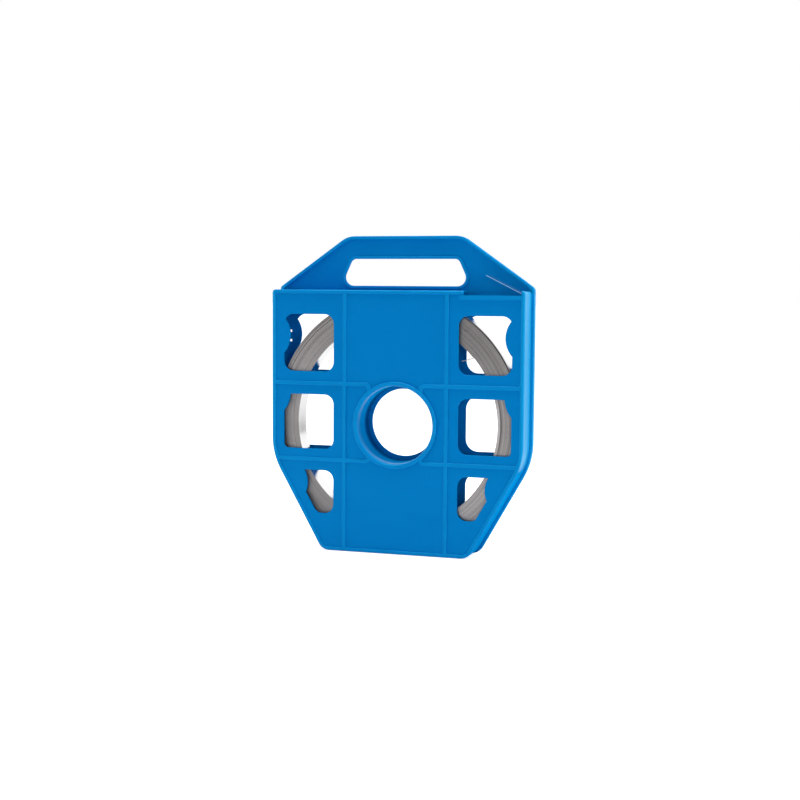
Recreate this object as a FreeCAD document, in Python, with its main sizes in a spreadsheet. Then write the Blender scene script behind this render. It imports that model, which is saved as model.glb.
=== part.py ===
import FreeCAD, Part
import math
import os
import Sketcher
from FreeCAD import Vector

# Steel strapping coil in its hand-carried dispenser case.
# Millimetres. X to the right, Y from the front of the case to its back,
# Z up.  The case stands on its lower edge at Z = 0, and the origin is the
# middle of its footprint.  Depths in the sheet are counted from the plane
# of the front ribs towards the back.

doc = FreeCAD.newDocument("strapping_coil")
sheet = doc.addObject("Spreadsheet::Sheet", "Dims")

DIMS = [
    # case, front half
    ("half_width", 120.0, "half width of the front half"),
    ("front_height", 242.2, "height of the front half"),
    ("taper_top", 88.2, "height where the sides start to taper"),
    ("foot_half", 70.2, "half width of the foot before its corner is rounded"),
    ("top_round", 3.0, "top corner radius"),
    ("side_round", 62.0, "radius between side and taper"),
    ("foot_round", 12.0, "radius between taper and foot"),
    ("wall", 1.3, "side wall thickness"),
    ("plate", 2.0, "face plate thickness"),
    ("rib_height", 1.2, "height of ribs and rims over the face plate"),
    ("rib_width", 3.7, "width of the ribs"),
    ("rim_width", 3.6, "width of the raised rim"),
    ("tray_back", 30.5, "depth where the front half ends"),
    ("rib_x", 48.6, "distance of the upright ribs from the middle"),
    ("rib_z_high", 155.8, "height of the upper cross rib"),
    ("rib_z_low", 85.0, "height of the lower cross rib"),
    # hub through the middle of the case
    ("hub_z", 119.2, "height of the hub axis"),
    ("collar_radius", 40.0, "outer radius of the hub collar"),
    ("mouth_radius", 35.9, "radius of the hub mouth"),
    ("throat_radius", 35.0, "inner radius of the hub tube where it meets the back"),
    ("hub_wall", 1.8, "wall of the hub tube"),
    ("hub_radius", 31.5, "radius of the hole in the back"),
    ("hub_edge", 0.6, "edge radius of that hole at the back"),
    ("collar_proud", 1.2, "height of the hub collar over the ribs"),
    ("knee_in", 22.5, "inner side of the knees that join the cross ribs to the collar"),
    ("knee_out", 26.8, "outer side of those knees"),
    ("knee_depth", 28.6, "distance of the knees' ends from the height of the hub axis"),
    ("knee_bend", 5.2, "outer radius of the knees"),
    ("knee_hollow", 1.8, "inner radius of the knees"),
    # windows
    ("window_in", 59.4, "inner side of the windows"),
    ("window_out", 108.6, "outer side of the windows"),
    ("high_low", 166.7, "lower side of the high windows"),
    ("high_top", 219.6, "upper side of the high windows"),
    ("mid_low", 94.6, "lower side of the middle windows"),
    ("mid_top", 145.3, "upper side of the middle windows"),
    ("low_low", 34.4, "lower side of the low windows"),
    ("low_top", 74.6, "upper side of the low windows"),
    ("low_out", 91.0, "outer side of the low windows"),
    ("low_knee", 61.0, "height where the low windows start to taper"),
    ("low_toe", 75.9, "outer end of the foot of the low windows"),
    ("window_round", 9.0, "corner radius of the windows"),
    ("rear_window_round", 11.5, "corner radius of the windows in the rear half"),
    ("mid_round", 4.5, "radius of the lower outer corner of the middle windows"),
    ("pad_radius", 24.3, "radius of the round pads beside the windows"),
    ("pad_x", 126.6, "pad centre from the middle"),
    ("pad_chord", 111.0, "straight side of the pads"),
    ("pad_z_high", 200.1, "height of the high pads"),
    ("pad_z_mid", 146.0, "height of the middle pads"),
    ("pad_x_low", 109.3, "low pad centre from the middle"),
    ("pad_z_low", 62.8, "height of the low pads"),
    ("pad_chord_low", 92.0, "straight side of the low pads"),
    # opening for the strap
    ("exit_left", 63.7, "inner end of the strap opening in the face"),
    ("exit_right", 116.7, "outer end of the strap opening in the face"),
    ("exit_z", 238.0, "height of the front edge at the strap opening"),
    ("exit_rear_left", 57.5, "inner end of the rear part of the strap opening, in the top wall"),
    ("exit_step", 12.0, "depth where that rear part starts"),
    ("exit_wall_z", 236.5, "lower side of the strap opening behind the face"),
    ("exit_round", 1.0, "corner radius of the strap opening in the face"),
    # case, rear half
    ("rear_half", 122.9, "half width of the rear half"),
    ("shoulder_z", 244.6, "height of the shoulder"),
    ("grip_half", 55.5, "half width of the carrying handle's top"),
    ("total_height", 292.1, "height of the carrying handle"),
    ("rear_taper_top", 87.4, "height where the rear half's sides taper"),
    ("rear_foot_half", 73.5, "half width of the rear half's foot"),
    ("shoulder_round", 5.0, "shoulder radius"),
    ("grip_round", 22.0, "radius beside the handle's top"),
    ("lip", 2.8, "width of the lip round the rear half"),
    ("seat_gap", 0.1, "gap between the lip and the front half"),
    ("lip_front", 27.3, "depth of the lip's front edge"),
    ("back_face", 32.5, "depth of the back plate's outer face"),
    ("slot_top", 271.0, "upper side of the hand slot"),
    ("slot_low", 246.1, "lower side of the hand slot"),
    ("slot_top_half", 51.4, "half length of the hand slot at its top"),
    ("slot_low_half", 62.8, "half length of the hand slot at its bottom"),
    ("slot_top_round", 5.5, "upper corner radius of the hand slot"),
    ("slot_low_round", 8.0, "lower corner radius of the hand slot"),
    ("slot_lip", 2.6, "width of the lip round the hand slot"),
    ("slot_lip_height", 1.6, "height of that lip"),
    ("hole_x", 112.1, "inner end of the small holes"),
    ("hole_length", 4.5, "length of the small holes"),
    ("hole_height", 2.2, "height of the small holes"),
    ("hole_z_high", 203.0, "height of the upper small hole"),
    ("hole_z_low", 194.0, "height of the lower small hole"),
    # soft edges of the mouldings
    ("outer_soft", 1.6, "radius of the outer front edges"),
    ("lip_soft", 1.0, "radius of the front outer edge of the lip"),
    ("rib_soft", 0.9, "radius of the edges of ribs and rims"),
    ("edge_soft", 0.5, "radius of the edges of windows and of the hand slot"),
    ("inner_round", 0.8, "radius of the inner top corners of the rim"),
    ("mouth_soft", 2.8, "radius of the hub's mouth"),
    # coil of strap
    ("coil_radius", 118.2, "outer radius of the coil"),
    ("coil_bore", 95.0, "bore radius of the coil"),
    ("coil_z", 120.5, "height of the coil axis"),
    ("coil_front", 5.0, "depth of the coil's front end"),
    ("strap_width", 19.0, "width of the strap"),
    ("strap_thick", 0.5, "thickness of the strap"),
    ("groove_pitch", 2.0, "distance between the grooves that mark the turns"),
    ("groove_depth", 0.25, "depth of those grooves"),
    ("groove_width", 0.5, "width of those grooves"),
    # free end of the strap
    ("end_x", 118.5, "outer face of the free end inside the case"),
    ("end_low", 134.0, "height where the free end leaves the coil"),
    ("bend_z", 238.6, "height of the bend"),
    ("end_tilt", 26.4, "angle of the free end over the level, degrees"),
    ("end_length", 39.2, "length of the free end beyond the bend"),
    ("bend_round", 2.5, "outer radius of the bend"),
]

VALUE = {}
for row, (alias, value, note) in enumerate(DIMS, start=1):
    sheet.set("A%d" % row, note)
    sheet.set("B%d" % row, str(value))
    sheet.setAlias("B%d" % row, alias)
    VALUE[alias] = value
doc.recompute()


class Size:
    """A number together with the sheet formula that gives it."""

    def __init__(self, value, text):
        self.value = float(value)
        self.text = text

    @staticmethod
    def of(other):
        if isinstance(other, Size):
            return other
        return Size(other, repr(float(other)))

    def __add__(self, other):
        other = Size.of(other)
        return Size(self.value + other.value, "(%s + %s)" % (self.text, other.text))

    def __sub__(self, other):
        other = Size.of(other)
        return Size(self.value - other.value, "(%s - %s)" % (self.text, other.text))

    def __mul__(self, other):
        other = Size.of(other)
        return Size(self.value * other.value, "(%s * %s)" % (self.text, other.text))

    def __truediv__(self, other):
        other = Size.of(other)
        return Size(self.value / other.value, "(%s / %s)" % (self.text, other.text))

    def __neg__(self):
        return Size(-self.value, "(0 - %s)" % self.text)


def D(alias):
    return Size(VALUE[alias], "Dims." + alias)


def cosd(size):
    return Size(math.cos(math.radians(size.value)), "cos(%s * 1 deg)" % size.text)


def sind(size):
    return Size(math.sin(math.radians(size.value)), "sin(%s * 1 deg)" % size.text)


def tand(size):
    return Size(math.tan(math.radians(size.value)), "tan(%s * 1 deg)" % size.text)


BODIES = []


def new_body(name, y=None, z=None):
    body = doc.addObject("PartDesign::Body", name)
    body.Label = name
    middle = (D("back_face") + D("rib_height") - D("collar_proud")) / 2.0
    place = -middle if y is None else y - middle
    body.setExpression("Placement.Base.y", place.text)
    if z is not None:
        body.setExpression("Placement.Base.z", z.text)
    BODIES.append(body)
    return body


def origin_plane(body, role):
    for feature in body.Origin.OriginFeatures:
        if feature.Role == role:
            return feature
    raise ValueError(role)


def new_sketch(body, name, depth=None, role="XZ_Plane"):
    """A sketch across the depth of the case: sketch x is X, sketch y is Z,
    and the sketch faces the front."""
    sk = body.newObject("Sketcher::SketchObject", name)
    sk.AttachmentSupport = [(origin_plane(body, role), "")]
    sk.MapMode = "FlatFace"
    if depth is not None:
        sk.setExpression("AttachmentOffset.Base.z", (-depth).text)
    return sk


def bind(sk, kind, args, size):
    index = sk.addConstraint(Sketcher.Constraint(kind, *(list(args) + [size.value])))
    sk.setExpression("Constraints[%d]" % index, size.text)


def pin_point(sk, geo, pos, x, z):
    """Fixes a point by its distances from the sketch's origin."""
    for kind, axis, size in (("DistanceX", -2, x), ("DistanceY", -1, z)):
        if abs(size.value) < 1e-9:
            sk.addConstraint(Sketcher.Constraint("PointOnObject", geo, pos, axis))
        elif size.value > 0:
            bind(sk, kind, (-1, 1, geo, pos), size)
        else:
            bind(sk, kind, (geo, pos, -1, 1), -size)


def outline(sk, corners):
    """A closed outline of straight sides.  corners are (x, z, radius or
    None) in counter-clockwise order."""
    pts = [Vector(Size.of(c[0]).value, Size.of(c[1]).value, 0) for c in corners]
    count = len(pts)
    cut = []
    for i in range(count):
        radius = corners[i][2]
        before = (pts[i - 1] - pts[i]).normalize()
        after = (pts[(i + 1) % count] - pts[i]).normalize()
        if radius is None:
            cut.append((pts[i], pts[i], None))
            continue
        r = Size.of(radius).value
        half = before.getAngle(after) / 2.0
        reach = r / math.tan(half)
        middle = (before + after).normalize()
        centre = pts[i] + middle * (r / math.sin(half))
        cut.append((pts[i] + before * reach, pts[i] + after * reach, centre))
    lines = []
    for i in range(count):
        j = (i + 1) % count
        lines.append(sk.addGeometry(Part.LineSegment(cut[i][1], cut[j][0]), False))
    for i in range(count):
        x, z, radius = Size.of(corners[i][0]), Size.of(corners[i][1]), corners[i][2]
        coming, leaving = lines[i - 1], lines[i]
        if radius is None:
            sk.addConstraint(Sketcher.Constraint("Coincident", coming, 2, leaving, 1))
            pin_point(sk, leaving, 1, x, z)
            continue
        mark = sk.addGeometry(Part.Point(pts[i]), True)
        pin_point(sk, mark, 1, x, z)
        sk.addConstraint(Sketcher.Constraint("PointOnObject", mark, 1, coming))
        sk.addConstraint(Sketcher.Constraint("PointOnObject", mark, 1, leaving))
        start, end, centre = cut[i]
        a = math.atan2(start.y - centre.y, start.x - centre.x)
        b = math.atan2(end.y - centre.y, end.x - centre.x)
        turn = (pts[i] - pts[i - 1]).cross(pts[(i + 1) % count] - pts[i]).z
        circle = Part.Circle(centre, Vector(0, 0, 1), Size.of(radius).value)
        if turn > 0:
            if b < a:
                b += 2 * math.pi
            arc = sk.addGeometry(Part.ArcOfCircle(circle, a, b), False)
            first, last = 1, 2
        else:
            if a < b:
                a += 2 * math.pi
            arc = sk.addGeometry(Part.ArcOfCircle(circle, b, a), False)
            first, last = 2, 1
        sk.addConstraint(Sketcher.Constraint("Tangent", coming, 2, arc, first))
        sk.addConstraint(Sketcher.Constraint("Tangent", arc, last, leaving, 1))
        bind(sk, "Radius", (arc,), Size.of(radius))
    return lines


def box_outline(sk, x0, z0, x1, z1, radius=None):
    outline(sk, [(x0, z0, radius), (x1, z0, radius), (x1, z1, radius), (x0, z1, radius)])


def circle(sk, x, z, radius):
    geo = sk.addGeometry(
        Part.Circle(Vector(Size.of(x).value, Size.of(z).value, 0), Vector(0, 0, 1), radius.value),
        False)
    pin_point(sk, geo, 3, Size.of(x), Size.of(z))
    bind(sk, "Radius", (geo,), radius)


def pad_outline(sk, x, z, radius, chord):
    """The part of a disc that lies inside an upright chord."""
    reach = math.sqrt(radius.value ** 2 - (x.value - chord.value) ** 2)
    half = math.atan2(reach, x.value - chord.value)
    ring = Part.Circle(Vector(x.value, z.value, 0), Vector(0, 0, 1), radius.value)
    arc = sk.addGeometry(Part.ArcOfCircle(ring, math.pi - half, math.pi + half), False)
    line = sk.addGeometry(Part.LineSegment(
        Vector(chord.value, z.value - reach, 0), Vector(chord.value, z.value + reach, 0)), False)
    sk.addConstraint(Sketcher.Constraint("Coincident", arc, 2, line, 1))
    sk.addConstraint(Sketcher.Constraint("Coincident", line, 2, arc, 1))
    sk.addConstraint(Sketcher.Constraint("Vertical", line))
    bind(sk, "DistanceX", (-1, 1, line, 1), chord)
    pin_point(sk, arc, 3, x, z)
    bind(sk, "Radius", (arc,), radius)


def pad(body, name, sk, length, back=False):
    """Adds material from the sketch towards the front, or the back."""
    feature = body.newObject("PartDesign::Pad", name)
    feature.Profile = sk
    feature.setExpression("Length", length.text)
    feature.Reversed = back
    sk.Visibility = False
    doc.recompute()
    return feature


def pocket(body, name, sk, length, front=False):
    """Cuts from the sketch towards the back, or the front, and makes sure
    that it did cut."""
    before = body.Shape.Volume
    feature = body.newObject("PartDesign::Pocket", name)
    feature.Profile = sk
    feature.setExpression("Length", length.text)
    feature.Reversed = front
    doc.recompute()
    if not feature.Shape.Volume < before - 1e-3:
        raise RuntimeError(name + " cut nothing")
    return feature


def mirror(body, name, features):
    feature = body.newObject("PartDesign::Mirrored", name)
    feature.Originals = features
    feature.MirrorPlane = (origin_plane(body, "YZ_Plane"), [""])
    body.Tip = feature
    doc.recompute()
    return feature


def both_sides(points):
    """A left-right symmetric outline from the corners of its right side,
    listed from the bottom up."""
    left = [(-Size.of(x), z, r) for x, z, r in reversed(points)]
    return points + left


def front_outline(inset=None):
    """Outline of the front half, or that outline moved in."""
    d = Size.of(0) if inset is None else inset
    slope = math.atan2(VALUE["taper_top"], VALUE["half_width"] - VALUE["foot_half"])
    k_side = math.tan((math.pi / 2 - slope) / 2)
    k_foot = math.tan(slope / 2)
    return both_sides([
        (D("foot_half") - d * k_foot, d, D("foot_round") - d),
        (D("half_width") - d, D("taper_top") + d * k_side, D("side_round") - d),
        (D("half_width") - d, D("front_height") - d,
         D("top_round") - d if d.value < VALUE["top_round"] - 1 else D("inner_round")),
    ])


def rear_outline(inset=None):
    """Outline of the rear half with its handle, or that outline moved in."""
    d = Size.of(0) if inset is None else inset
    slope = math.atan2(VALUE["rear_taper_top"], VALUE["rear_half"] - VALUE["rear_foot_half"])
    rise = math.atan2(VALUE["total_height"] - VALUE["shoulder_z"],
                      VALUE["rear_half"] - VALUE["grip_half"])
    k_side = math.tan((math.pi / 2 - slope) / 2)
    k_foot = math.tan(slope / 2)
    k_shoulder = math.tan((math.pi / 2 - rise) / 2)
    k_grip = math.tan(rise / 2)
    return both_sides([
        (D("rear_foot_half") - d * k_foot, d, D("foot_round") + 1.5 - d),
        (D("rear_half") - d, D("rear_taper_top") + d * k_side, D("side_round") + 2.6 - d),
        (D("rear_half") - d, D("shoulder_z") - d * k_shoulder, D("shoulder_round") - d * 0.9),
        (D("grip_half") - d * k_grip, D("total_height") - d, D("grip_round") - d),
    ])


def window_outlines(sk, r):
    """The three windows on the right."""
    box_outline(sk, D("window_in"), D("high_low"), D("window_out"), D("high_top"), r)
    outline(sk, [
        (D("window_in"), D("mid_low"), r),
        (D("window_out"), D("mid_low"), D("mid_round")),
        (D("window_out"), D("mid_top"), r),
        (D("window_in"), D("mid_top"), r),
    ])
    outline(sk, [
        (D("window_in"), D("low_low"), r),
        (D("low_toe"), D("low_low"), D("window_round") - 1.0),
        (D("low_out"), D("low_knee"), None),
        (D("low_out"), D("low_top"), None),
        (D("window_in"), D("low_top"), r),
    ])


def cross_rib_outlines(sk, z, outer, side):
    """The two cross ribs at one height.  Each ends beside the hub in a knee
    that runs into the collar; side is -1 where the collar is below the rib
    and 1 where it is above."""
    half = D("rib_width") / 2.0
    reach = D("hub_z") - D("knee_depth") * side
    near, far = z + half * side, z - half * side
    for hand in (1, -1):
        points = [
            (outer * hand, far, None),
            (outer * hand, near, None),
            (D("knee_out") * hand, near, D("knee_hollow")),
            (D("knee_out") * hand, reach, None),
            (D("knee_in") * hand, reach, None),
            (D("knee_in") * hand, far, D("knee_bend")),
        ]
        if side * hand < 0:
            points = points[::-1]
        outline(sk, points)


def pad_outlines(sk):
    pad_outline(sk, D("pad_x"), D("pad_z_high"), D("pad_radius"), D("pad_chord"))
    pad_outline(sk, D("pad_x"), D("pad_z_mid"), D("pad_radius"), D("pad_chord"))
    pad_outline(sk, D("pad_x_low"), D("pad_z_low"), D("pad_radius"), D("pad_chord_low"))


def soften(body, name, radius, wanted, near=None, far=None):
    """Rounds the edges that wanted picks by their bounding box.  near and
    far also ask that a face beside the edge reaches that depth."""
    base = body.Tip
    names = []
    for i, edge in enumerate(base.Shape.Edges):
        if not wanted(edge.BoundBox):
            continue
        boxes = [face.BoundBox for face in base.Shape.ancestorsOfType(edge, Part.Face)]
        if near is not None and min(box.YMin for box in boxes) > near.value + 1e-3:
            continue
        if far is not None and max(box.YMax for box in boxes) < far.value - 1e-3:
            continue
        names.append("Edge%d" % (i + 1))
    if not names:
        raise RuntimeError(name + " found no edge")
    feature = body.newObject("PartDesign::Fillet", name)
    feature.Base = (base, names)
    feature.setExpression("Radius", radius.text)
    doc.recompute()
    shape = feature.Shape
    if shape.isNull() or not shape.isValid() or len(shape.Solids) != 1:
        raise RuntimeError(name + " left no valid solid")
    return feature


def at_depth(box, size):
    """True for an edge that lies at one depth."""
    return abs(box.YMin - size.value) < 1e-4 and abs(box.YMax - size.value) < 1e-4


def at_window(box):
    """True for an edge inside one of the window areas."""
    x0, x1 = sorted((abs(box.XMin), abs(box.XMax)))
    if box.XMin * box.XMax < 0 or x0 < VALUE["window_in"] - 1 or x1 > VALUE["window_out"] + 3:
        return False
    for low, high in (("high_low", "high_top"), ("mid_low", "mid_top"), ("low_low", "low_top")):
        if box.ZMin > VALUE[low] - 1 and box.ZMax < VALUE[high] + 1:
            return True
    return False


# ---------------------------------------------------------------- front half
front = new_body("front_shell")

sk = new_sketch(front, "front_block_outline", D("tray_back"))
outline(sk, front_outline())
pad(front, "front_block", sk, D("tray_back") - D("rib_height"))

sk = new_sketch(front, "front_cavity_outline", D("tray_back"))
outline(sk, front_outline(D("wall")))
pocket(front, "front_cavity", sk, D("tray_back") - D("rib_height") - D("plate"), front=True)

sk = new_sketch(front, "front_rim_outline", D("rib_height"))
outline(sk, front_outline())
outline(sk, front_outline(D("rim_width")))
pad(front, "front_rim", sk, D("rib_height"))

half_rib = D("rib_width") / 2.0
sk = new_sketch(front, "front_upright_rib_outline", D("rib_height"))
for side in (1, -1):
    x = D("rib_x") * side
    box_outline(sk, x - half_rib, D("rim_width") / 2.0,
                x + half_rib, D("front_height") - D("rim_width") / 2.0)
pad(front, "front_upright_ribs", sk, D("rib_height"))

sk = new_sketch(front, "front_cross_rib_outline", D("rib_height"))
cross_rib_outlines(sk, D("rib_z_high"), D("half_width") - D("rim_width") / 2.0, -1)
cross_rib_outlines(sk, D("rib_z_low"), D("half_width") - D("rim_width") * 1.5, 1)
pad(front, "front_cross_ribs", sk, D("rib_height"))

edge_half = VALUE["half_width"]
soften(front, "front_outer_edges", D("outer_soft"),
       lambda b: at_depth(b, Size.of(0)) and (
           b.XMax > edge_half - 1e-3 or b.XMin < -edge_half + 1e-3
           or b.ZMin < 1e-3 or b.ZMax > VALUE["front_height"] - 1e-3))
soften(front, "front_rib_edges", D("rib_soft"),
       lambda b: at_depth(b, Size.of(0)) and b.XMax < edge_half - 2.2 and b.XMin > -edge_half + 2.2
       and b.ZMin > 2.2 and b.ZMax < VALUE["front_height"] - 2.2)

# opening at the top where the strap comes out
sk = new_sketch(front, "exit_outline", Size.of(0))
outline(sk, [
    (D("exit_left"), D("exit_z"), D("exit_round")),
    (D("exit_right"), D("exit_z"), D("exit_round")),
    (D("exit_right"), D("front_height") + 5.0, None),
    (D("exit_left"), D("front_height") + 5.0, None),
])
pocket(front, "exit_opening", sk, D("rib_height") + D("plate"))
sk = new_sketch(front, "exit_rim_outline", D("rib_height"))
box_outline(sk, D("exit_left") - D("rim_width"), D("exit_z") - D("rim_width") - 0.6,
            D("half_width") - D("rim_width") / 2.0, D("exit_z"))
pad(front, "exit_rim", sk, D("rib_height"))
sk = new_sketch(front, "exit_wall_outline", D("rib_height") + D("plate"))
box_outline(sk, D("exit_left"), D("exit_wall_z"),
            D("half_width") - D("wall"), D("front_height") + 5.0)
pocket(front, "exit_wall_opening", sk, D("tray_back"))
sk = new_sketch(front, "exit_rear_outline", D("exit_step"))
box_outline(sk, D("exit_rear_left"), D("exit_wall_z"), D("exit_left") + 2.0, D("front_height") + 5.0)
pocket(front, "exit_rear_opening", sk, D("tray_back"))

sk = new_sketch(front, "front_window_outline", D("rib_height"))
window_outlines(sk, D("window_round"))
windows = pocket(front, "front_windows", sk, D("plate") + 1.0)
sk = new_sketch(front, "front_pad_outline", D("rib_height") + D("plate"))
pad_outlines(sk)
pads = pad(front, "front_pads", sk, D("plate"))
mirror(front, "front_windows_left", [windows, pads])
soften(front, "front_window_edges", D("edge_soft"),
       lambda b: at_depth(b, D("rib_height")) and at_window(b))

# hub: the plate is opened, then the collar and the tube, which reaches to
# the back, are turned
sk = new_sketch(front, "front_hub_opening", Size.of(0))
circle(sk, Size.of(0), D("hub_z"), D("mouth_radius") + 0.5)
pocket(front, "front_hub_hole", sk, D("rib_height") + D("plate") + 1.0)

sk = new_sketch(front, "front_hub_profile", None, "YZ_Plane")
axis = sk.addGeometry(Part.LineSegment(Vector(-5, VALUE["hub_z"], 0), Vector(40, VALUE["hub_z"], 0)), True)
sk.addConstraint(Sketcher.Constraint("Horizontal", axis))
bind(sk, "DistanceY", (-1, 1, axis, 1), D("hub_z"))
bind(sk, "DistanceX", (axis, 1, -1, 1), Size.of(5))
bind(sk, "DistanceX", (-1, 1, axis, 2), Size.of(40))
top = D("collar_proud")
outline(sk, [
    (-top, D("hub_z") + D("mouth_radius"), D("mouth_soft")),
    (D("tray_back"), D("hub_z") + D("throat_radius"), None),
    (D("tray_back"), D("hub_z") + D("throat_radius") + D("hub_wall"), None),
    (D("rib_height") + D("plate"), D("hub_z") + D("mouth_radius") + D("hub_wall"), None),
    (D("rib_height") + D("plate"), D("hub_z") + D("collar_radius"), None),
    (-top, D("hub_z") + D("collar_radius"), Size.of(1.2)),
])
turned = front.newObject("PartDesign::Revolution", "front_hub")
turned.Profile = sk
turned.ReferenceAxis = (sk, ["Axis0"])
turned.Angle = 360.0
doc.recompute()

# ----------------------------------------------------------------- rear half
rear = new_body("rear_shell")

sk = new_sketch(rear, "rear_block_outline", D("back_face"))
outline(sk, rear_outline())
pad(rear, "rear_block", sk, D("back_face") - D("lip_front"))

# recess inside the lip; it runs out at the foot, where both halves are level
sk = new_sketch(rear, "rear_recess_outline", D("lip_front"))
slope = math.atan2(VALUE["rear_taper_top"], VALUE["rear_half"] - VALUE["rear_foot_half"])
edge = D("lip")
inner = rear_outline(edge)
run = 6.0 / math.tan(slope)
half = inner[:4]
foot_x = half[0][0] - Size.of(0) - (edge + 6.0) * (math.cos(slope) / math.sin(slope))
half = [(foot_x, Size.of(-6.0), None)] + half[1:]
outline(sk, both_sides(half))
pocket(rear, "rear_recess", sk, D("tray_back") - D("lip_front"))
soften(rear, "lip_outer_edges", D("lip_soft"), lambda b: at_depth(b, D("lip_front")),
       far=D("back_face"))

sk = new_sketch(rear, "slot_lip_outline", D("tray_back"))


def slot_outline(grow):
    rise = math.atan2(VALUE["slot_top"] - VALUE["slot_low"],
                      VALUE["slot_low_half"] - VALUE["slot_top_half"])
    k_low = 1.0 / math.tan(rise / 2)
    k_top = math.tan(rise / 2)
    return both_sides([
        (D("slot_low_half") + grow * k_low, D("slot_low") - grow, D("slot_low_round") + grow),
        (D("slot_top_half") + grow * k_top, D("slot_top") + grow, D("slot_top_round") + grow),
    ])


outline(sk, slot_outline(D("slot_lip")))
pad(rear, "slot_lip", sk, D("slot_lip_height"))
sk = new_sketch(rear, "slot_outline", D("lip_front"))
outline(sk, slot_outline(Size.of(0)))
pocket(rear, "hand_slot", sk, D("back_face") - D("lip_front") + 1.0)
soften(rear, "slot_edges", D("edge_soft"),
       lambda b: at_depth(b, D("tray_back") - D("slot_lip_height")) or (
           at_depth(b, D("back_face")) and abs(b.XMax) < 64 and abs(b.XMin) < 64
           and b.ZMin > VALUE["slot_low"] - 1 and b.ZMax < VALUE["slot_top"] + 1))

# rim and ribs on the back
sk = new_sketch(rear, "rear_rim_outline", D("back_face"))
outline(sk, rear_outline())
outline(sk, rear_outline(D("rim_width")))
pad(rear, "rear_rim", sk, D("rib_height"), back=True)

sk = new_sketch(rear, "rear_upright_rib_outline", D("back_face"))
for side in (1, -1):
    x = D("rib_x") * side
    box_outline(sk, x - half_rib, D("rim_width") / 2.0, x + half_rib, D("front_height"))
pad(rear, "rear_upright_ribs", sk, D("rib_height"), back=True)

sk = new_sketch(rear, "rear_cross_rib_outline", D("back_face"))
cross_rib_outlines(sk, D("rib_z_high"), D("rear_half") - D("rim_width") / 2.0, -1)
cross_rib_outlines(sk, D("rib_z_low"), D("half_width") - D("rim_width"), 1)
box_outline(sk, -(D("rear_half") - D("rim_width") / 2.0), D("front_height") - D("rib_width"),
            D("rear_half") - D("rim_width") / 2.0, D("front_height"))
pad(rear, "rear_cross_ribs", sk, D("rib_height"), back=True)
soften(rear, "back_outer_edges", D("outer_soft"),
       lambda b: at_depth(b, D("back_face") + D("rib_height")), near=D("back_face") - 1.0)

sk = new_sketch(rear, "rear_window_outline", D("tray_back") - 1.0)
window_outlines(sk, D("rear_window_round"))
rear_windows = pocket(rear, "rear_windows", sk, D("plate") + 1.0)
sk = new_sketch(rear, "rear_pad_outline", D("back_face"))
pad_outlines(sk)
rear_pads = pad(rear, "rear_pads", sk, D("plate"))
sk = new_sketch(rear, "small_hole_outline", D("tray_back") - 1.0)
for z in (D("hole_z_high"), D("hole_z_low")):
    box_outline(sk, D("hole_x"), z - D("hole_height") / 2.0,
                D("hole_x") + D("hole_length"), z + D("hole_height") / 2.0)
small_holes = pocket(rear, "small_holes", sk, D("plate") + 3.0)
mirror(rear, "rear_windows_left", [rear_windows, rear_pads, small_holes])
soften(rear, "rear_window_edges", D("edge_soft"),
       lambda b: at_depth(b, D("back_face")) and at_window(b))

sk = new_sketch(rear, "rear_hub_opening", D("tray_back") - 1.0)
circle(sk, Size.of(0), D("hub_z"), D("hub_radius") + 1.0)
pocket(rear, "rear_hub_hole", sk, D("plate") + 4.0)
sk = new_sketch(rear, "rear_hub_profile", None, "YZ_Plane")
axis = sk.addGeometry(Part.LineSegment(Vector(5, VALUE["hub_z"], 0), Vector(40, VALUE["hub_z"], 0)), True)
sk.addConstraint(Sketcher.Constraint("Horizontal", axis))
bind(sk, "DistanceY", (-1, 1, axis, 1), D("hub_z"))
bind(sk, "DistanceX", (-1, 1, axis, 1), Size.of(5))
bind(sk, "DistanceX", (-1, 1, axis, 2), Size.of(40))
end_y = D("back_face") + D("rib_height")
outline(sk, [
    (D("tray_back"), D("hub_z") + D("hub_radius"), None),
    (end_y, D("hub_z") + D("hub_radius"), D("hub_edge")),
    (end_y, D("hub_z") + D("collar_radius"), Size.of(1.0)),
    (D("tray_back"), D("hub_z") + D("collar_radius"), None),
])
turned = rear.newObject("PartDesign::Revolution", "rear_hub")
turned.Profile = sk
turned.ReferenceAxis = (sk, ["Axis0"])
turned.Angle = 360.0
doc.recompute()

# ---------------------------------------------------------------------- coil
# The turned coil lies round its own Y axis; grooves in both ends mark turns.
coil = new_body("strap_coil", D("coil_front"), D("coil_z"))
sk = new_sketch(coil, "coil_section", None, "YZ_Plane")
box_outline(sk, Size.of(0), D("coil_bore"), D("strap_width"), D("coil_radius"))
turned = coil.newObject("PartDesign::Revolution", "coil_ring")
turned.Profile = sk
turned.ReferenceAxis = (sk, ["H_Axis"])
turned.Angle = 360.0
doc.recompute()
grooves = int((VALUE["coil_radius"] - VALUE["coil_bore"]) / VALUE["groove_pitch"])
sk = new_sketch(coil, "groove_section", None, "YZ_Plane")
for index in range(1, grooves + 1):
    r = D("coil_bore") + D("groove_pitch") * index
    for end, inner_y in ((Size.of(0), D("groove_depth")),
                         (D("strap_width"), D("strap_width") - D("groove_depth"))):
        points = [(end, r - D("groove_width") / 2.0, None), (inner_y, r, None),
                  (end, r + D("groove_width") / 2.0, None)]
        if index and inner_y.value > 1:
            points = points[::-1]
        outline(sk, points)
groove = coil.newObject("PartDesign::Groove", "turn_grooves")
groove.Profile = sk
groove.ReferenceAxis = (sk, ["H_Axis"])
groove.Angle = 360.0
before = turned.Shape.Volume
doc.recompute()
if not groove.Shape.Volume < before - 1:
    raise RuntimeError("the grooves cut nothing")

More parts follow.
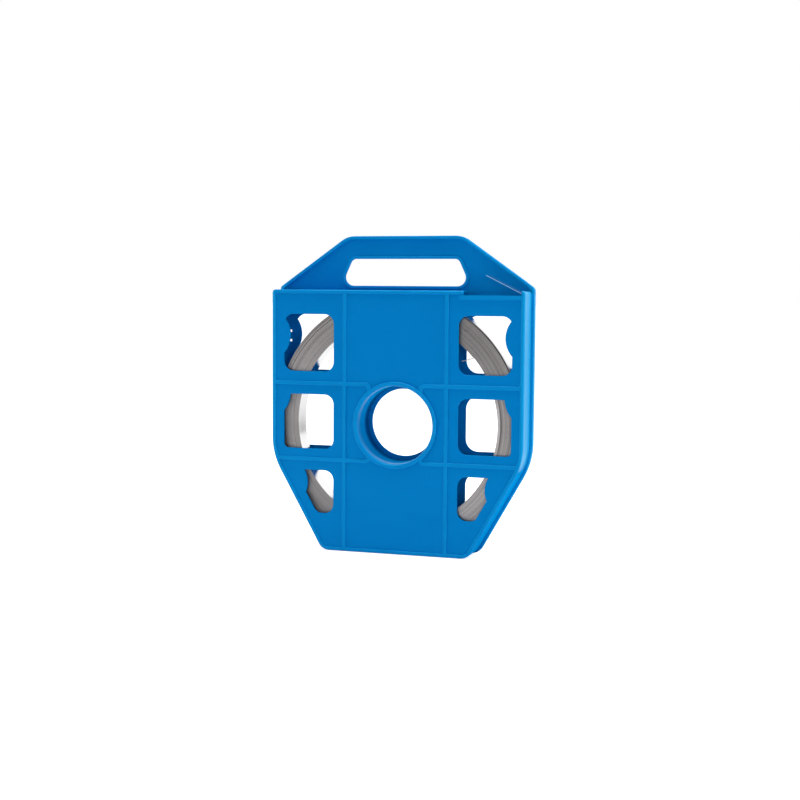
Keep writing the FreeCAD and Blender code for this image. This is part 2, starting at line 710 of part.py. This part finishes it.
# ------------------------------------------------------------- free strap end
end = new_body("strap_end")
t = D("strap_thick")
tilt = D("end_tilt")
turn = (-tilt + 90.0) / 2.0
knee_x, knee_z = D("end_x"), D("bend_z")
tip_x = knee_x - cosd(tilt) * D("end_length")
tip_z = knee_z + sind(tilt) * D("end_length")
sk = new_sketch(end, "strap_end_outline", D("coil_front") + D("strap_width"))
outline(sk, [
    (knee_x - t, D("end_low"), None),
    (knee_x, D("end_low"), None),
    (knee_x, knee_z, D("bend_round")),
    (tip_x, tip_z, None),
    (tip_x - sind(tilt) * t, tip_z - cosd(tilt) * t, None),
    (knee_x - t, knee_z - tand(turn) * t, D("bend_round") - t),
])
pad(end, "strap_end_sheet", sk, D("strap_width"))

# --------------------------------------------------------------------- output
doc.recompute()
problems = []
for obj in doc.Objects:
    if any(word in ("Invalid", "Error") for word in obj.State):
        problems.append("%s: %s" % (obj.Name, obj.State))
for body in BODIES:
    shape = body.Shape
    if shape.isNull() or not shape.isValid() or len(shape.Solids) != 1:
        problems.append("%s: null, invalid or not one solid (%d)" % (body.Label, len(shape.Solids)))
if problems:
    raise RuntimeError("; ".join(problems))

os.makedirs("parts", exist_ok=True)
for body in BODIES:
    box = body.Shape.optimalBoundingBox()
    print("%-12s volume %.0f mm3  X %.2f %.2f  Y %.2f %.2f  Z %.2f %.2f" % (
        body.Label, body.Shape.Volume, box.XMin, box.XMax, box.YMin, box.YMax, box.ZMin, box.ZMax))
    body.Shape.exportStep("parts/%s.step" % body.Label)
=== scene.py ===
import math

import bpy
import numpy as np
from mathutils import Matrix, Vector


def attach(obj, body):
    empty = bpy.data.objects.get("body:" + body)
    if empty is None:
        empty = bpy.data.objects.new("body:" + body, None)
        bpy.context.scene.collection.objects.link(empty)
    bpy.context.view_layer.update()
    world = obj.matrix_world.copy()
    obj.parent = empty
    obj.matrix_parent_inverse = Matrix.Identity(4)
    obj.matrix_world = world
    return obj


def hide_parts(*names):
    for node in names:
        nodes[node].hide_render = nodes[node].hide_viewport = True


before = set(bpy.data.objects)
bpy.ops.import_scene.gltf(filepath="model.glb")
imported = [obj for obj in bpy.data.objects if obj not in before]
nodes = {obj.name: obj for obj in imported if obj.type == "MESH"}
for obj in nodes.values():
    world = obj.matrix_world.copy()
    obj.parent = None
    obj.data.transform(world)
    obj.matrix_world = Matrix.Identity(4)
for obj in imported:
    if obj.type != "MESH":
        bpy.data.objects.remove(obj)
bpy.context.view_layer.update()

scene = bpy.context.scene

# The case's middle is Y = 0; depths are counted from the front ribs, in mm.
MIDDLE = 16.25


def at(x, depth, z):
    """A point from millimetres and a depth behind the front ribs."""
    return Vector((x, depth - MIDDLE, z)) * 0.001


# ------------------------------------------------------------------ materials
class Nodes:
    """Short calls for building a node material."""

    def __init__(self, name, material=None):
        self.material = material or bpy.data.materials.new(name)
        self.material.use_nodes = True
        self.tree = self.material.node_tree
        self.shader = self.tree.nodes["Principled BSDF"]

    def add(self, kind, **settings):
        node = self.tree.nodes.new(kind)
        for key, value in settings.items():
            setattr(node, key, value)
        return node

    def link(self, out, into):
        self.tree.links.new(out, into)

    def put(self, socket, value):
        if isinstance(value, bpy.types.NodeSocket):
            self.link(value, socket)
        else:
            socket.default_value = value

    def math(self, operation, a, b=0.0, clamp=False):
        node = self.add("ShaderNodeMath", operation=operation, use_clamp=clamp)
        self.put(node.inputs[0], a)
        self.put(node.inputs[1], b)
        return node.outputs[0]

    def noise(self, vector, scale, detail=2.0, rough=0.5, distortion=0.0):
        node = self.add("ShaderNodeTexNoise")
        self.link(vector, node.inputs["Vector"])
        node.inputs["Scale"].default_value = scale
        node.inputs["Detail"].default_value = detail
        node.inputs["Roughness"].default_value = rough
        node.inputs["Distortion"].default_value = distortion
        return node.outputs[0]

    def mapping(self, vector, scale=(1, 1, 1), location=(0, 0, 0), rotation=(0, 0, 0)):
        node = self.add("ShaderNodeMapping")
        self.link(vector, node.inputs["Vector"])
        node.inputs["Scale"].default_value = scale
        node.inputs["Location"].default_value = location
        node.inputs["Rotation"].default_value = rotation
        return node.outputs[0]

    def remap(self, value, a, b, c, d, smooth=False):
        node = self.add("ShaderNodeMapRange", clamp=True)
        if smooth:
            node.interpolation_type = "SMOOTHSTEP"
        self.put(node.inputs["Value"], value)
        for key, number in zip(("From Min", "From Max", "To Min", "To Max"), (a, b, c, d)):
            node.inputs[key].default_value = number
        return node.outputs[0]

    def ramp(self, value, stops, mode="LINEAR"):
        node = self.add("ShaderNodeValToRGB")
        node.color_ramp.interpolation = mode
        elements = node.color_ramp.elements
        while len(elements) < len(stops):
            elements.new(0.5)
        for element, (place, colour) in zip(elements, stops):
            element.position = place
            element.color = (*colour, 1.0)
        self.put(node.inputs[0], value)
        return node.outputs[0]

    def mix(self, factor, a, b, blend="MIX"):
        node = self.add("ShaderNodeMix", data_type="RGBA", blend_type=blend)
        self.put(node.inputs[0], factor)
        for socket, value in ((node.inputs[6], a), (node.inputs[7], b)):
            if isinstance(value, tuple):
                socket.default_value = (*value, 1.0)
            else:
                self.put(socket, value)
        return node.outputs[2]

    def bump(self, height, strength, distance, normal=None):
        node = self.add("ShaderNodeBump")
        node.inputs["Strength"].default_value = strength
        node.inputs["Distance"].default_value = distance
        self.link(height, node.inputs["Height"])
        if normal is not None:
            self.link(normal, node.inputs["Normal"])
        return node.outputs[0]


def blue_plastic(name, seed, raised):
    """Injection moulded polypropylene, blue right through: satin from the
    tool, faint flow marks, a few rub marks.  raised lists depths in mm, from
    plain to raised, where ribs and rims get a painted highlight: a lighter
    blue where light catches them.  The side walls and the bore also get
    painted light, and the bore's deep end painted shade."""
    m = Nodes(name)
    where = m.add("ShaderNodeTexCoord").outputs["Object"]
    moved = m.mapping(where, location=(seed * 0.37, seed * 0.11, seed * 0.23))
    cloud = m.noise(moved, 14.0, 3.0, 0.55, 0.6)
    flow = m.noise(m.mapping(moved, scale=(26.0, 26.0, 150.0)), 1.0, 2.0, 0.5, 0.4)
    tone = m.math("ADD", m.math("MULTIPLY", cloud, 0.7), m.math("MULTIPLY", flow, 0.3))
    base = m.ramp(tone, [
        (0.25, (0.0000, 0.180, 0.545)),
        (0.50, (0.0002, 0.192, 0.572)),
        (0.75, (0.0008, 0.204, 0.598)),
    ])
    split = m.add("ShaderNodeSeparateXYZ")
    m.link(where, split.inputs[0])
    # painted highlight: raised ribs and rims are mixed towards a lighter blue where light catches them
    raised_highlight = None
    for plain, high in raised:
        part = m.remap(split.outputs["Y"], (plain - MIDDLE) * 0.001, (high - MIDDLE) * 0.001,
                       0.0, 1.0, smooth=True)
        raised_highlight = part if raised_highlight is None else m.math("MAXIMUM", raised_highlight, part)
    raised_highlight = m.math("MULTIPLY", raised_highlight, m.remap(cloud, 0.3, 0.7, 0.75, 1.0))
    # painted highlight: the outsides of the side walls are mixed, with the ribs and rims, towards a lighter
    # blue where light catches them; the side walls also get more gloss below
    side = m.remap(m.math("ABSOLUTE", split.outputs["X"]), 0.1150, 0.1185, 0.0, 1.0, smooth=True)
    base = m.mix(m.math("MAXIMUM", m.math("MULTIPLY", raised_highlight, 0.22), m.math("MULTIPLY", side, 0.45)),
                 base, (0.008, 0.390, 0.770))
    # the hub's bore: painted light lightens its wall, it is glossier at its mouth, and painted shade darkens
    # its deep end
    lift = m.math("SUBTRACT", split.outputs["Z"], 0.1192)
    from_hub = m.math("SQRT", m.math("ADD", m.math("MULTIPLY", split.outputs["X"], split.outputs["X"]),
                                     m.math("MULTIPLY", lift, lift)))
    bore = m.math("MULTIPLY", m.remap(from_hub, 0.0370, 0.0355, 0.0, 1.0),
                  m.remap(split.outputs["Y"], 0.0136, 0.0142, 1.0, 0.0))
    mouth = m.math("MULTIPLY", bore, m.remap(split.outputs["Y"], -0.0125, -0.0070, 1.0, 0.0, smooth=True))
    deep_shade = m.math("MULTIPLY", bore, m.remap(split.outputs["Y"], 0.0005, 0.0085, 0.0, 1.0, smooth=True))
    # painted light: the bore's wall is mixed towards a lighter blue; painted shade: its deep end is mixed
    # towards dark navy
    base = m.mix(m.math("MULTIPLY", bore, 0.40), base, (0.004, 0.390, 0.840))
    base = m.mix(m.math("MULTIPLY", deep_shade, 0.88), base, (0.0, 0.026, 0.175))
    # dry rub marks where the case slides over benches
    rub = m.noise(m.mapping(moved, scale=(900.0, 260.0, 24.0), rotation=(0.0, 0.5, 0.0)), 1.0, 2.0, 0.6)
    rub = m.remap(rub, 0.66, 0.80, 0.0, 1.0)
    patch = m.remap(m.noise(moved, 31.0, 2.0), 0.52, 0.66, 0.0, 1.0)
    rub = m.math("MULTIPLY", rub, patch)
    base = m.mix(m.math("MULTIPLY", rub, 0.10), base, (0.05, 0.30, 0.66))
    m.link(base, m.shader.inputs["Base Color"])
    grain = m.noise(moved, 1500.0, 2.0, 0.6)
    rough = m.math("ADD", m.remap(cloud, 0.3, 0.7, 0.25, 0.32), m.math("MULTIPLY", grain, 0.05))
    rough = m.math("ADD", rough, m.math("MULTIPLY", rub, 0.10))
    m.link(rough, m.shader.inputs["Roughness"])
    fine = m.bump(grain, 0.10, 0.00004)
    sink = m.bump(m.noise(moved, 34.0, 2.0, 0.45), 0.22, 0.0012, fine)
    m.link(sink, m.shader.inputs["Normal"])
    m.shader.inputs["IOR"].default_value = 1.49
    facing = m.add("ShaderNodeLayerWeight")
    facing.inputs["Blend"].default_value = 0.5
    polished = m.math("MAXIMUM", m.math("MULTIPLY", side, 0.55), m.math("MULTIPLY", mouth, 0.22))
    gloss = m.math("ADD", m.remap(facing.outputs["Facing"], 0.25, 0.62, 0.50, 0.0),
                   m.math("MULTIPLY", polished, m.remap(facing.outputs["Facing"], 0.62, 0.80, 0.0, 1.0)))
    m.link(gloss, m.shader.inputs["Specular IOR Level"])
    m.shader.inputs["Specular Tint"].default_value = (0.02, 0.80, 1.0, 1.0)
    m.shader.inputs["Sheen Weight"].default_value = 0.34
    m.shader.inputs["Sheen Roughness"].default_value = 0.35
    m.shader.inputs["Sheen Tint"].default_value = (0.0, 0.78, 1.0, 1.0)
    return m.material


def strap_face(name, coordinates="UV"):
    """Bright rolled stainless strap: fine lines along its length."""
    m = Nodes(name)
    where = m.add("ShaderNodeTexCoord").outputs[coordinates]
    if coordinates == "UV":
        along = m.mapping(where, scale=(14.0, 5200.0, 1.0))
        broad = m.mapping(where, scale=(6.0, 420.0, 1.0))
    else:
        along = m.mapping(where, scale=(14.0, 5200.0, 14.0))
        broad = m.mapping(where, scale=(6.0, 420.0, 6.0))
    lines = m.noise(along, 1.0, 3.0, 0.6)
    bands = m.noise(broad, 1.0, 2.0, 0.5)
    tone = m.math("ADD", m.math("MULTIPLY", lines, 0.6), m.math("MULTIPLY", bands, 0.4))
    base = m.ramp(tone, [
        (0.30, (0.85, 0.848, 0.852)),
        (0.70, (0.95, 0.948, 0.952)),
    ])
    if coordinates == "UV":
        # painted shade: faces that lie between turns are darkened nearly to black
        gap_shade = m.add("ShaderNodeAttribute", attribute_name="gap_shade").outputs["Fac"]
        base = m.mix(m.math("MULTIPLY", gap_shade, 0.95), base, (0.04, 0.038, 0.038))
    m.link(base, m.shader.inputs["Base Color"])
    m.link(m.remap(tone, 0.3, 0.7, 0.14, 0.22), m.shader.inputs["Roughness"])
    m.link(m.bump(lines, 0.08, 0.00002), m.shader.inputs["Normal"])
    m.shader.inputs["Metallic"].default_value = 1.0
    return m.material


def strap_edge(name):
    """The slit edges of the strap: torn and burnished bands, a little warm,
    each turn its own tone, with painted light and painted shade added by
    place around the coil."""
    m = Nodes(name)
    where = m.add("ShaderNodeTexCoord").outputs["UV"]
    turn = m.add("ShaderNodeAttribute", attribute_name="turn_tone_and_light").outputs["Fac"]
    bite = m.noise(m.mapping(where, scale=(420.0, 2600.0, 0.0)), 1.0, 3.0, 0.65)
    tone = m.math("ADD", m.math("MULTIPLY", turn, 0.86), m.math("MULTIPLY", bite, 0.14))
    base = m.ramp(tone, [
        (0.10, (0.030, 0.028, 0.028)),
        (0.35, (0.270, 0.256, 0.254)),
        (0.65, (0.400, 0.380, 0.377)),
        (0.90, (0.640, 0.616, 0.612)),
    ])
    m.link(base, m.shader.inputs["Base Color"])
    m.link(m.remap(tone, 0.1, 0.9, 0.42, 0.30), m.shader.inputs["Roughness"])
    m.link(m.bump(bite, 0.35, 0.00005), m.shader.inputs["Normal"])
    m.shader.inputs["Metallic"].default_value = 1.0
    return m.material


def wear(node, material):
    slots = node.data.materials
    if len(slots) == 0:
        slots.append(material)
    for index in range(len(slots)):
        slots[index] = material
    node.data.polygons.foreach_set("use_smooth", [True] * len(node.data.polygons))


blue_front = blue_plastic("case_blue_front", 1.0, [(1.1, 0.4)])
blue_rear = blue_plastic("case_blue_rear", 4.0, [(30.3, 29.6), (32.6, 33.3)])
wear(nodes["front_shell"], blue_front)
wear(nodes["rear_shell"], blue_rear)

# ----------------------------------------------------------------- strap coil
# One strip of strap wound from its inner end to its outer end.  A point on
# it is given by the angle it has turned through, seen from the front with
# zero to the right and counted towards the top.
COIL_Z = 120.5
STRAP = 0.5
WIDTH = 18.9
FRONT = 5.05
FIRST = 95.25                       # middle of the innermost turn
LAST = 117.90                       # middle of the outermost turn
START = math.radians(40.95)
STEPS = 192                         # sections in a turn
rng = np.random.default_rng(20711)


def wander(angle, spacing, values):
    """Values on evenly spaced knots, joined smoothly."""
    place = (angle - angle[0]) / spacing
    low = np.floor(place).astype(int)
    part = place - low
    part = part * part * (3.0 - 2.0 * part)
    return values[low] * (1.0 - part) + values[low + 1] * part


step = 2.0 * math.pi / STEPS
turns = 40
end = math.radians(6.3) + 2.0 * math.pi * (turns + 1)
count = int(round((end - START) / step)) + 1
angle = START + np.arange(count) * step
turned = (angle - START) / (2.0 * math.pi)
knots = int(turned[-1] / 0.31) + 4
gap = wander(angle, 0.31 * 2 * math.pi, rng.exponential(1.0, knots) ** 1.6)
gap *= 0.55 / turned[-1] / gap.mean()
# looser places: two inside the coil, and the last turns, which have sprung
# out towards the top
for where, size, wide in ((9.4, 0.16, 0.45), (24.7, 0.20, 0.5), (turned[-1] - 6.66, 0.32, 0.17),
                          (turned[-1] - 2.66, 0.42, 0.17), (turned[-1] - 0.66, 0.30, 0.10),
                          (turned[-1] - 0.90, 0.95, 0.12)):
    gap += size * np.exp(-((turned - where) / wide) ** 2)
gap += 0.006
radius = np.empty(count)
pitch = STRAP + gap
for i in range(count):
    if i < STEPS:
        radius[i] = FIRST + 0.52 * i / STEPS
    else:
        radius[i] = radius[i - STEPS] + pitch[i]
# keep the first turn's shape and bring the last one to the coil's outside
grow = (LAST - FIRST) / (radius[-STEPS:].max() - FIRST)
room = radius - (FIRST + (STRAP + 0.004) * turned)
radius = FIRST + (STRAP + 0.004) * turned + room * (
    (LAST - FIRST - (STRAP + 0.004) * turned[-1]) / room[-STEPS:].max())
out = np.clip((turned - (turned[-1] - 0.12)) / 0.12, 0.0, 1.0)
radius += 0.75 * out * out

side_knots = int(turned[-1] / 0.43) + 4
slip = wander(angle, 0.43 * 2 * math.pi, rng.normal(0.0, 0.05, side_knots))
drift_knots = int(turned[-1] / 2.3) + 4
slip += wander(angle, 2.3 * 2 * math.pi, rng.normal(0.0, 0.03, drift_knots))
slip += 0.16 * np.exp(-((turned - turned[-1] + 1.0) / 1.0) ** 2)
slip = np.clip(slip, -0.28, 0.28)

line = [(r * math.cos(a), COIL_Z + r * math.sin(a), s, -math.sin(a), math.cos(a))
        for r, a, s in zip(radius, angle, slip)]
# the inner end is bent into the bore as a short tab
heading = START - math.pi / 2.0
x, z = line[0][0], line[0][1]
tab = []
bend = 0.8
turn_total, pieces = math.radians(114.8), 10
centre = (x + bend * math.cos(heading - math.pi / 2), z + bend * math.sin(heading - math.pi / 2))
for k in range(1, pieces + 1):
    now = heading - turn_total * k / pieces
    tab.append((centre[0] + bend * math.cos(now + math.pi / 2), centre[1] + bend * math.sin(now + math.pi / 2),
                float(slip[0]), -math.cos(now), -math.sin(now)))
hx, hz = math.cos(heading - turn_total), math.sin(heading - turn_total)
for k in range(1, 5):
    reach = 10.4 * k / 4.0
    tab.append((tab[pieces - 1][0] + hx * reach, tab[pieces - 1][1] + hz * reach, float(slip[0]), -hx, -hz))
line = tab[::-1] + line

line = np.array(line)
tangent = line[:, 3:5] / np.linalg.norm(line[:, 3:5], axis=1)[:, None]
normal = np.stack([tangent[:, 1], -tangent[:, 0]], axis=1)      # away from the coil's middle
length = np.concatenate([[0.0], np.cumsum(np.linalg.norm(np.diff(line[:, 0:2], axis=0), axis=1))])
half, nose = STRAP / 2.0, 0.10
section = [(-half, nose), (0.0, 0.0), (half, nose), (half, WIDTH - nose), (0.0, WIDTH), (-half, WIDTH - nose)]
vertices = []
for (px, pz), (nx, nz), side in zip(line[:, 0:2], normal, line[:, 2]):
    for off, depth in section:
        vertices.append(((px + nx * off) * 0.001,
                         (FRONT + side + depth - MIDDLE) * 0.001,
                         (pz + nz * off) * 0.001))
rows = len(line)
# how bright each stretch of the slit edge is: mostly middling, some torn and
# dark, some burnished
tone_knots = int(turned[-1] / 0.37) + 4
burnish = rng.normal(0.5, 0.06, tone_knots)
burnish[rng.random(tone_knots) < 0.06] = 0.22
burnish[rng.random(tone_knots) < 0.03] = 0.70
edge_tones_and_light = np.clip(wander(angle, 0.37 * 2 * math.pi, burnish), 0.0, 1.0)


def near(degrees, wide):
    """1 where the coil passes this angle, falling off within some degrees."""
    off = np.mod(np.degrees(angle) - degrees + 180.0, 360.0) - 180.0
    return np.exp(-(off / wide) ** 2)


# the innermost turns are burnished at the right, with a torn one behind them
edge_tones_and_light = edge_tones_and_light - 0.10 * near(0.0, 24.0) + 0.44 * near(0.0, 24.0) * (turned < 4.5)
edge_tones_and_light = edge_tones_and_light * (1.0 - 0.70 * near(0.0, 24.0) * ((turned > 5.5) & (turned < 7.0)))
# painted light: the edges are lighter towards the upper left and the lower right, where the lamps fall on them
edge_tones_and_light += 0.10 * near(130.0, 30.0) + 0.16 * near(-50.0, 26.0)
# painted shade: the outer turns are darker at the left, where the case's window edges shade them
edge_tones_and_light -= 0.29 * near(198.0, 36.0) * np.clip((turned - 13.0) / 14.0, 0.0, 1.0)
edge_tones_and_light = np.clip(edge_tones_and_light, 0.0, 1.0)
edge_tones_and_light = np.concatenate([np.full(rows - count, 0.8), edge_tones_and_light])
faces, kinds, uvs = [], [], []
across = [0.0, 0.25, 0.5, WIDTH - 0.5, WIDTH - 0.25, WIDTH]
for i in range(rows - 1):
    for k in range(6):
        j = (k + 1) % 6
        faces.append((i * 6 + k, (i + 1) * 6 + k, (i + 1) * 6 + j, i * 6 + j))
        kinds.append(0 if k in (2, 5) else 1)
        v0 = across[k] if k < 3 else across[k] - 0.0
        v1 = across[j] if j else WIDTH + 0.5
        u0, u1 = length[i] * 0.001, length[i + 1] * 0.001
        uvs += [(u0, v0 * 0.001), (u1, v0 * 0.001), (u1, v1 * 0.001), (u0, v1 * 0.001)]
for row, order in ((0, (0, 1, 2, 3, 4, 5)), (rows - 1, (5, 4, 3, 2, 1, 0))):
    faces.append(tuple(row * 6 + k for k in order))
    kinds.append(1)
    for k in order:
        uvs.append((length[row] * 0.001, across[k] * 0.001))
mesh = bpy.data.meshes.new("coil_of_strap")
mesh.from_pydata(vertices, [], faces)
mesh.polygons.foreach_set("material_index", kinds)
mesh.polygons.foreach_set("use_smooth", [True] * len(faces))
layer = mesh.uv_layers.new(name="Strap")
layer.data.foreach_set("uv", np.array(uvs, np.float32).ravel())
shade = mesh.attributes.new("turn_tone_and_light", "FLOAT", "POINT")
shade.data.foreach_set("value", np.repeat(edge_tones_and_light, 6).astype(np.float32))
# 1 where a face of the strap lies against another turn, where painted shade darkens it
along_coil = np.concatenate([np.full(rows - count, -1.0), turned])
inner_side = np.clip((along_coil - 1.0) / 0.02, 0.0, 1.0)
outer_side = np.clip((turned[-1] - 1.0 - along_coil) / 0.02, 0.0, 1.0) * (along_coil >= 0.0)
gap_shade = np.stack([inner_side, 0.5 * (inner_side + outer_side), outer_side,
                   outer_side, 0.5 * (inner_side + outer_side), inner_side], axis=1)
pressed = mesh.attributes.new("gap_shade", "FLOAT", "POINT")
pressed.data.foreach_set("value", gap_shade.ravel().astype(np.float32))
mesh.materials.append(strap_face("strap_steel_face"))
mesh.materials.append(strap_edge("strap_steel_edge"))
mesh.update()
mesh.validate()
mesh.set_sharp_from_angle(angle=math.radians(50))
coil = bpy.data.objects.new("coil_of_strap", mesh)
scene.collection.objects.link(coil)
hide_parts("strap_coil")
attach(coil, "coil")

end_steel = strap_face("strap_steel_end", "Object")
slim = Nodes(end_steel.name, end_steel)
sideways = slim.add("ShaderNodeSeparateXYZ")
slim.link(slim.add("ShaderNodeTexCoord").outputs["Normal"], sideways.inputs[0])
# painted reflection: the slit edges of the strap end are mixed towards a light blue, the blue of the case
# around them; they are also made rougher
is_edge = slim.remap(slim.math("ABSOLUTE", sideways.outputs["Y"]), 0.6, 0.9, 0.0, 1.0)
shown = slim.shader.inputs["Base Color"].links[0].from_socket
slim.link(slim.mix(is_edge, shown, (0.34, 0.66, 1.0)), slim.shader.inputs["Base Color"])
matt = slim.shader.inputs["Roughness"].links[0].from_socket
slim.link(slim.math("ADD", matt, slim.math("MULTIPLY", is_edge, 0.3)), slim.shader.inputs["Roughness"])
wear(nodes["strap_end"], end_steel)

# ---------------------------------------------------------------------- stage
floor_mesh = bpy.data.meshes.new("floor")
floor_mesh.from_pydata([(-15, -15, 0), (15, -15, 0), (15, 25, 0), (-15, 25, 0)], [], [(0, 1, 2, 3)])
floor = bpy.data.objects.new("floor", floor_mesh)
scene.collection.objects.link(floor)
floor.location.z = -0.0003
fm = Nodes("floor_white")
fm.shader.inputs["Base Color"].default_value = (0.90, 0.90, 0.90, 1.0)
fm.shader.inputs["Roughness"].default_value = 0.9
fm.shader.inputs["Specular IOR Level"].default_value = 0.0
# a lit table top: white to the eye, with only a faint shadow under the case
fm.shader.inputs["Emission Color"].default_value = (1.0, 1.0, 1.0, 1.0)
glow = fm.remap(fm.add("ShaderNodeLightPath").outputs["Is Camera Ray"], 0.0, 1.0, 0.0, 0.75)
fm.link(glow, fm.shader.inputs["Emission Strength"])
floor_mesh.materials.append(fm.material)

world = bpy.data.worlds.new("studio")
scene.world = world
world.use_nodes = True
tree = world.node_tree
tree.nodes.clear()
output = tree.nodes.new("ShaderNodeOutputWorld")
sky = tree.nodes.new("ShaderNodeBackground")
seen = tree.nodes.new("ShaderNodeBackground")
choose = tree.nodes.new("ShaderNodeMixShader")
path = tree.nodes.new("ShaderNodeLightPath")
where = tree.nodes.new("ShaderNodeTexCoord")
split = tree.nodes.new("ShaderNodeSeparateXYZ")
grade = tree.nodes.new("ShaderNodeMapRange")
tree.links.new(where.outputs["Generated"], split.inputs[0])
tree.links.new(split.outputs["Y"], grade.inputs["Value"])
grade.inputs["From Min"].default_value = -0.1
grade.inputs["From Max"].default_value = 0.5
grade.inputs["To Min"].default_value = 0.20
grade.inputs["To Max"].default_value = 1.10
sky.inputs["Color"].default_value = (1.0, 1.0, 1.0, 1.0)
tree.links.new(grade.outputs[0], sky.inputs["Strength"])
seen.inputs["Color"].default_value = (1.0, 1.0, 1.0, 1.0)
seen.inputs["Strength"].default_value = 1.0
tree.links.new(path.outputs["Is Camera Ray"], choose.inputs[0])
tree.links.new(sky.outputs[0], choose.inputs[1])
tree.links.new(seen.outputs[0], choose.inputs[2])
tree.links.new(choose.outputs[0], output.inputs[0])


def lamp(name, place, aim, size, power, colour=(1.0, 1.0, 1.0)):
    data = bpy.data.lights.new(name, "AREA")
    data.shape = "RECTANGLE"
    data.size, data.size_y = size
    data.energy = power
    data.color = colour
    obj = bpy.data.objects.new(name, data)
    scene.collection.objects.link(obj)
    obj.visible_camera = False
    obj.location = place
    obj.rotation_mode = "QUATERNION"
    obj.rotation_quaternion = (Vector(aim) - Vector(place)).to_track_quat("-Z", "Y")
    return obj


lamp("key", (-0.60, -1.35, 1.90), (0.0, 0.0, 0.12), (0.45, 0.45), 4.1)
lamp("fill", (-0.95, -1.95, 0.12), (0.0, 0.0, 0.12), (1.0, 0.5), 0.8)
lamp("left", (-1.75, -1.05, 0.35), (0.0, 0.0, 0.12), (0.4, 0.6), 4.1)
lamp("front", (0.90, -1.60, 0.30), (0.0, 0.0, 0.12), (0.6, 0.6), 3.6)
lamp("overhead", (0.05, -0.12, 1.5), (0.0, 0.0, 0.12), (1.2, 0.4), 15.0)
lamp("side", (1.6, -0.05, 0.45), (0.0, 0.0, 0.15), (0.30, 0.9), 10.0)

# --------------------------------------------------------------------- camera
lens = bpy.data.cameras.new("camera")
lens.sensor_fit = "HORIZONTAL"
lens.sensor_width = 36.0
lens.lens = 36.0 * 1356.98 / 800.0
lens.clip_start, lens.clip_end = 0.05, 60.0
camera = bpy.data.objects.new("camera", lens)
scene.collection.objects.link(camera)
yaw, pitch, roll = 0.301627, 0.0796280, 0.00717983
forward = Vector((-math.sin(yaw) * math.cos(pitch), math.cos(yaw) * math.cos(pitch), -math.sin(pitch)))
right = Vector((math.cos(yaw), math.sin(yaw), 0.0))
up = right.cross(forward)
right_now = right * math.cos(roll) + up * math.sin(roll)
up_now = up * math.cos(roll) - right * math.sin(roll)
turn = Matrix((right_now, up_now, -forward)).transposed()
camera.matrix_world = Matrix.Translation((0.370262, -1.190801, 0.240487)) @ turn.to_4x4()
lens.shift_x, lens.shift_y = 0.65 / 800.0, 0.30 / 800.0
scene.camera = camera

scene.view_settings.view_transform = "Standard"
scene.view_settings.look = "None"
scene.view_settings.exposure = 0.0
scene.view_settings.gamma = 1.0
